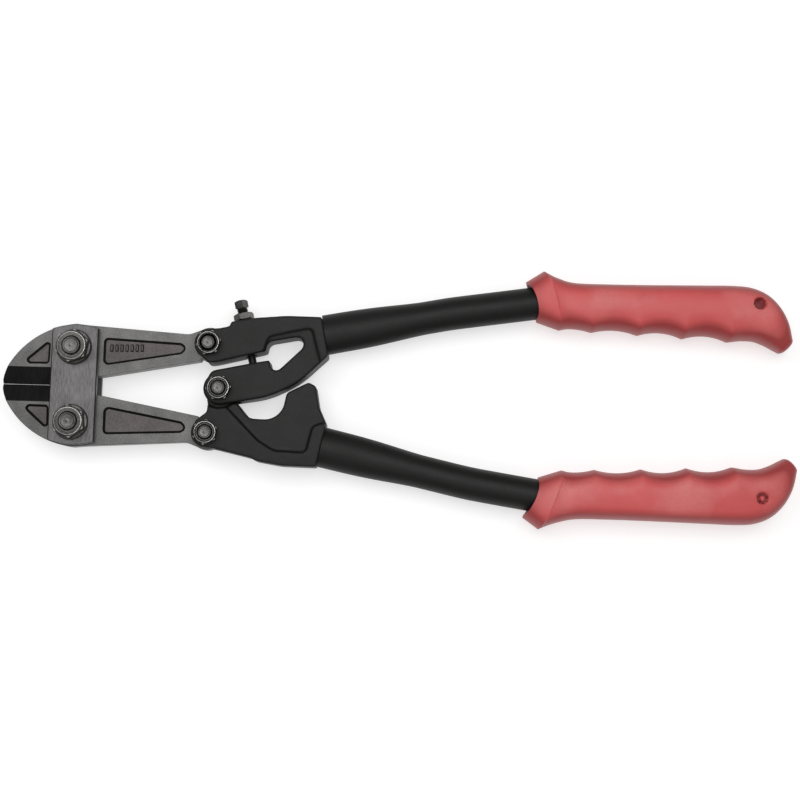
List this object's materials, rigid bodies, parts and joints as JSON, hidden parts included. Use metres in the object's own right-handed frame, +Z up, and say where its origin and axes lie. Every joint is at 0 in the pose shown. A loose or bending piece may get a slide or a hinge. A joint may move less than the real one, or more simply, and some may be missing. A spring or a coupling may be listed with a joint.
{
  "type": "bolt cutters",
  "caption": "Hand bolt cutters with plate-linked cutting jaws, compound black steel handles, an adjusting screw and hooked red vinyl grips.",
  "frame": {"origin": "centre of the closed tool's footprint, on the surface it lies flat on", "axes": "+X from the jaws towards the grips, +Y towards the handle with the adjusting screw, +Z up out of the flat tool on its nut side"},
  "size_m": [0.3618, 0.118, 0.0253],
  "materials": {
    "jaw_steel": "satin dark steel, ground blade bevels blacked",
    "plate_steel": "fine vertical brushing",
    "fastener_steel": "dark zinc with brighter edges",
    "black_paint": "satin black paint",
    "red_vinyl": "semi-gloss moulded vinyl"
  },
  "bodies": {
    "linkage": {"front_plate": "plate_steel", "rear_plate": "plate_steel", "upper_jaw_bolt": "fastener_steel", "lower_jaw_bolt": "fastener_steel", "upper_jaw_nut": "fastener_steel", "lower_jaw_nut": "fastener_steel"},
    "upper_jaw": {"upper_jaw": "jaw_steel"},
    "lower_jaw": {"lower_jaw": "jaw_steel"},
    "upper_handle": {"upper_head": "black_paint", "upper_pivot_bolt": "fastener_steel", "upper_pivot_nut": "fastener_steel", "centre_pivot_bolt": "fastener_steel", "centre_pivot_nut": "fastener_steel", "upper_tube": "black_paint", "upper_grip": "red_vinyl"},
    "lower_handle": {"lower_head": "black_paint", "lower_pivot_bolt": "fastener_steel", "lower_pivot_nut": "fastener_steel", "lower_tube": "black_paint", "lower_grip": "red_vinyl"},
    "adjusting_screw": {"adjusting_screw": "fastener_steel"},
    "adjusting_lock_nut": {"adjusting_lock_nut": "fastener_steel"}
  },
  "joints": [
    {"name": "upper_jaw_pivot", "type": "hinge", "parent": "linkage", "child": "upper_jaw", "pos_m": [-0.14797, 0.0176, 0.011], "axis": [0, 0, 1], "range_deg": [-6.76, 0]},
    {"name": "lower_jaw_pivot", "type": "hinge", "parent": "linkage", "child": "lower_jaw", "pos_m": [-0.14797, -0.0164, 0.011], "axis": [0, 0, 1], "range_deg": [0, 6.76]},
    {"name": "upper_handle_pivot", "type": "hinge", "parent": "upper_jaw", "child": "upper_handle", "pos_m": [-0.08687, 0.0208, 0.011], "axis": [0, 0, 1], "range_deg": [0, 46.7]},
    {"name": "lower_handle_pivot", "type": "hinge", "parent": "lower_jaw", "child": "lower_handle", "pos_m": [-0.08687, -0.0196, 0.011], "axis": [0, 0, 1], "range_deg": [-46.7, 0]},
    {"name": "adjusting_screw_turn", "type": "hinge", "parent": "upper_handle", "child": "adjusting_screw", "pos_m": [-0.07217, 0.0327, 0.011], "axis": [0.225, -0.9744, 0], "range_deg": [-180, 180]},
    {"name": "adjusting_lock_nut_turn", "type": "hinge", "parent": "upper_handle", "child": "adjusting_lock_nut", "pos_m": [-0.07217, 0.0327, 0.011], "axis": [0.225, -0.9744, 0], "range_deg": [-180, 180]}
  ],
  "couplings": [
    {"joint": "upper_jaw_pivot", "follows": "upper_handle_pivot", "ratio": -0.14457},
    {"joint": "lower_jaw_pivot", "follows": "upper_handle_pivot", "ratio": 0.14457},
    {"joint": "lower_handle_pivot", "follows": "upper_handle_pivot", "ratio": -1}
  ]
}
